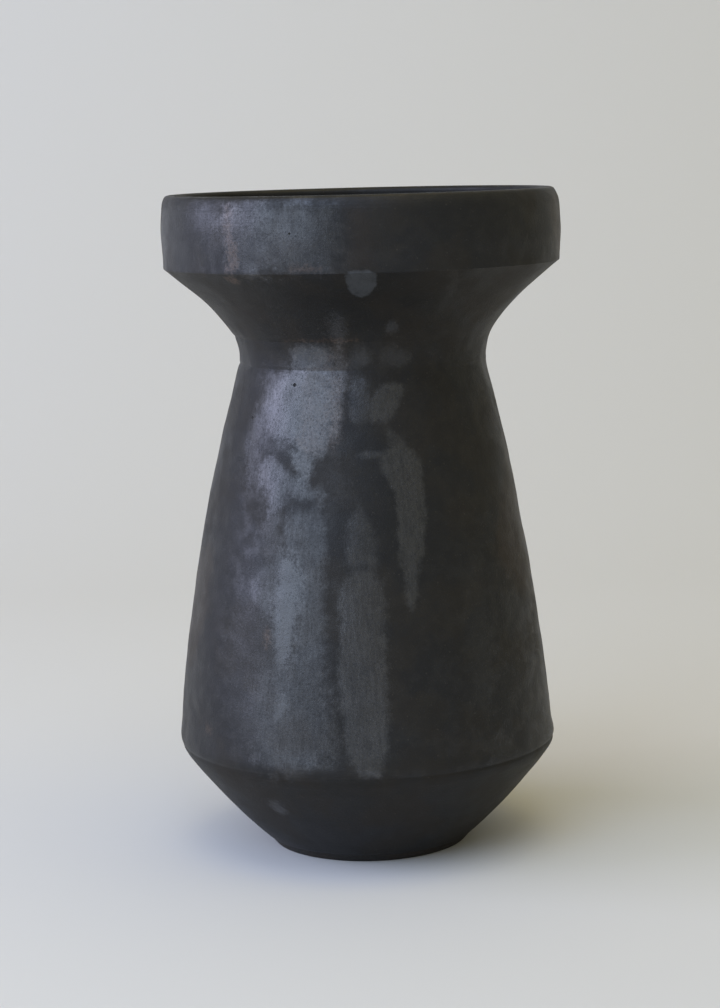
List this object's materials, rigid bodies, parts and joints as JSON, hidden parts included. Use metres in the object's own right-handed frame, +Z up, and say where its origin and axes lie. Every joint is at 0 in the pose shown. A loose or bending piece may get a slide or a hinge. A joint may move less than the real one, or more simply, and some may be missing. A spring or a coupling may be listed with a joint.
{
  "type": "clay pot",
  "caption": "Hand-built black clay pot: narrow flat foot, conical lower wall, tall tapering body, pinched neck and flared mouth with an upright rim collar.",
  "frame": {"origin": "centre of the flat underside that the pot stands on", "axes": "+Z up along the pot's own axis, from the foot to the mouth; -Y towards the side seen first"},
  "size_m": [0.2038, 0.2038, 0.34],
  "materials": {
    "burnished_clay": "satin",
    "plain_clay": "matte"
  },
  "bodies": {
    "root": {"base_disc": "plain_clay", "lower_wall": "burnished_clay", "body_wall": "burnished_clay", "neck_ring": "burnished_clay", "flared_neck": "burnished_clay", "rim_collar": "burnished_clay", "base_seam_coil": "plain_clay", "belly_seam_coil": "plain_clay", "collar_seam_coil": "plain_clay"}
  },
  "joints": []
}
